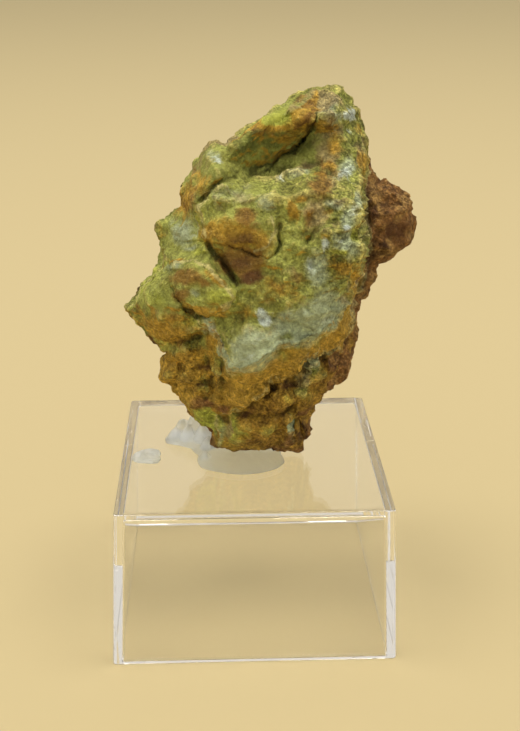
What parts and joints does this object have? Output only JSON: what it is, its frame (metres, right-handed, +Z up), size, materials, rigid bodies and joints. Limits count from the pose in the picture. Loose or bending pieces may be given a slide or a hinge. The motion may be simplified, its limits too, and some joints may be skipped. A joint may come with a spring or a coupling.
{
  "type": "ferrosaponite mineral specimen on a clear box",
  "caption": "Lumpy green and ochre clay-mineral stone, glued upright on an upturned clear moulded plastic box for display.",
  "frame": {"origin": "bottom centre of the whole object's box, on the surface that the clear box stands on", "axes": "+Z up; -Y towards the side from which the stone is shown; +X to the right from there"},
  "size_m": [0.0576, 0.0526, 0.0988],
  "materials": {
    "clear_box": "clear moulded polystyrene, polished",
    "stone": "dull, fine fibrous clay with ochre iron stains",
    "glue": "cloudy hot-melt glue"
  },
  "bodies": {
    "root": {"display_box": "clear_box", "ferrosaponite_stone": "stone", "glue_bed": "glue", "glue_dab": "glue"}
  },
  "joints": []
}
